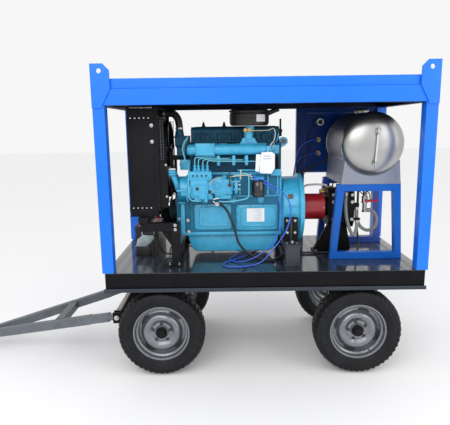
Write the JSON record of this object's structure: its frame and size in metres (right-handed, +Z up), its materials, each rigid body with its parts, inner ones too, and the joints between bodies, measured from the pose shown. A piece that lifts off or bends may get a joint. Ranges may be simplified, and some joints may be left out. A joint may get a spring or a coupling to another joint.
{
  "type": "pressure washer",
  "caption": "Towable engine-driven high-pressure washer: open lifting frame with diesel engine, plunger pump and horizontal tank on a steerable wheeled trailer with drawbar.",
  "frame": {"origin": "centre of the bounding box, on the ground under the tyres", "axes": "+X from the drawbar to the rear, +Y away from the engine's injection-pump side, +Z up"},
  "size_m": [3.3709, 1.064, 2.08],
  "materials": {
    "blue_paint": "bright blue gloss paint",
    "navy_paint": "dark blue satin paint",
    "black_paint": "black semi-gloss paint",
    "deck_gloss": "glossy black paint over checker plate",
    "grey_paint": "grey paint, worn",
    "engine_paint": "turquoise engine enamel",
    "red_paint": "dark red paint",
    "stainless": "brushed stainless sheet",
    "rim_steel": "silver wheel paint",
    "tyre_rubber": "matt tyre rubber",
    "plated_steel": "zinc-plated steel",
    "alternator_alloy": "cast aluminium",
    "brass": "machined brass",
    "hose_rubber": "black rubber hose",
    "grey_hose": "grey braided hose",
    "cable_blue": "blue plastic sheath",
    "black_plastic": "black moulded plastic",
    "red_plastic": "red plastic"
  },
  "bodies": {
    "trailer": {"frame_post_front_near": "blue_paint", "frame_post_front_far": "blue_paint", "frame_post_rear_near": "blue_paint", "frame_post_rear_far": "blue_paint", "roof_rim": "blue_paint", "roof_panel": "blue_paint", "stand_frame_near": "blue_paint", "stand_frame_far": "blue_paint", "control_panel": "navy_paint", "deck_frame": "black_paint", "turntable_plate": "black_paint", "rear_axle": "black_paint", "front_engine_mount": "black_paint", "rear_engine_mount": "black_paint", "radiator": "black_paint", "fan_guard": "black_paint", "oil_filter": "black_paint", "exhaust_silencer": "black_paint", "pump_crankcase": "black_paint", "deck_plate": "deck_gloss", "engine_block": "engine_paint", "oil_pan": "engine_paint", "cylinder_head": "engine_paint", "valve_cover": "engine_paint", "flywheel_housing": "engine_paint", "intake_manifold": "engine_paint", "injection_pump": "engine_paint", "coupling_guard": "red_paint", "tank_shell": "stainless", "tank_saddle": "stainless", "alternator": "alternator_alloy", "pump_head": "brass", "radiator_hose": "hose_rubber", "fuel_hose": "hose_rubber", "suction_hose": "grey_hose", "return_hose": "grey_hose", "control_cable": "cable_blue", "air_filter": "black_plastic", "battery": "black_plastic"},
    "steering": {"steer_subframe": "black_paint", "front_axle": "black_paint"},
    "drawbar": {"drawbar": "grey_paint", "tow_eye": "plated_steel"},
    "crank": {"crank_pulley": "black_paint", "drive_coupling": "plated_steel"},
    "fan": {"fan": "black_plastic"},
    "alternator_rotor": {"alternator_pulley": "plated_steel"},
    "throttle_lever": {"throttle_lever": "plated_steel"},
    "throttle_knob": {"throttle_knob": "black_plastic"},
    "stop_knob": {"stop_knob": "red_plastic"},
    "tank_cap": {"fuel_cap": "black_plastic"},
    "valve_handle": {"valve_handle": "red_plastic"},
    "wheel_front_near": {"tyre_front_near": "tyre_rubber", "wheel_rim_front_near": "rim_steel"},
    "wheel_front_far": {"tyre_front_far": "tyre_rubber", "wheel_rim_front_far": "rim_steel"},
    "wheel_rear_near": {"tyre_rear_near": "tyre_rubber", "wheel_rim_rear_near": "rim_steel"},
    "wheel_rear_far": {"tyre_rear_far": "tyre_rubber", "wheel_rim_rear_far": "rim_steel"}
  },
  "joints": [
    {"name": "steer", "type": "hinge", "parent": "trailer", "child": "steering", "pos_m": [-0.0965, 0, 0.575], "axis": [0, 0, 1], "range_deg": [-35, 35]},
    {"name": "drawbar_pitch", "type": "hinge", "parent": "steering", "child": "drawbar", "pos_m": [-0.4285, 0, 0.366], "axis": [0, 1, 0], "range_deg": [-2, 50]},
    {"name": "spin_front_near", "type": "hinge", "parent": "steering", "child": "wheel_front_near", "pos_m": [-0.0965, -0.427, 0.3], "axis": [0, 1, 0], "continuous": true},
    {"name": "spin_front_far", "type": "hinge", "parent": "steering", "child": "wheel_front_far", "pos_m": [-0.0965, 0.427, 0.3], "axis": [0, 1, 0], "continuous": true},
    {"name": "spin_rear_near", "type": "hinge", "parent": "trailer", "child": "wheel_rear_near", "pos_m": [1.2515, -0.427, 0.3], "axis": [0, 1, 0], "continuous": true},
    {"name": "spin_rear_far", "type": "hinge", "parent": "trailer", "child": "wheel_rear_far", "pos_m": [1.2515, 0.427, 0.3], "axis": [0, 1, 0], "continuous": true},
    {"name": "crank_spin", "type": "hinge", "parent": "trailer", "child": "crank", "pos_m": [0.6095, 0, 1.09], "axis": [1, 0, 0], "continuous": true},
    {"name": "fan_spin", "type": "hinge", "parent": "trailer", "child": "fan", "pos_m": [-0.0405, 0, 1.47], "axis": [1, 0, 0], "continuous": true},
    {"name": "alternator_spin", "type": "hinge", "parent": "trailer", "child": "alternator_rotor", "pos_m": [-0.0405, 0.25, 1.23], "axis": [1, 0, 0], "continuous": true},
    {"name": "throttle_pull", "type": "slide", "parent": "trailer", "child": "throttle_knob", "axis": [0, 1, 0], "range_m": [0, 0.03]},
    {"name": "throttle_lever_turn", "type": "hinge", "parent": "trailer", "child": "throttle_lever", "pos_m": [0.3845, -0.33, 1.3], "axis": [0, 1, 0], "range_deg": [0, 30]},
    {"name": "stop_pull", "type": "slide", "parent": "trailer", "child": "stop_knob", "axis": [0, 1, 0], "range_m": [0, 0.03]},
    {"name": "tank_cap_hinge", "type": "hinge", "parent": "trailer", "child": "tank_cap", "pos_m": [1.3715, 0.118, 1.7973], "axis": [-1, 0, 0], "range_deg": [0, 95]},
    {"name": "valve_turn", "type": "hinge", "parent": "trailer", "child": "valve_handle", "pos_m": [1.3925, -0.074, 1.14], "axis": [0, 1, 0], "range_deg": [0, 90]}
  ],
  "couplings": [
    {"joint": "fan_spin", "follows": "crank_spin", "ratio": 1.0714},
    {"joint": "alternator_spin", "follows": "crank_spin", "ratio": 2.1429},
    {"joint": "throttle_lever_turn", "follows": "throttle_pull", "rad_per_m": 14.5}
  ]
}
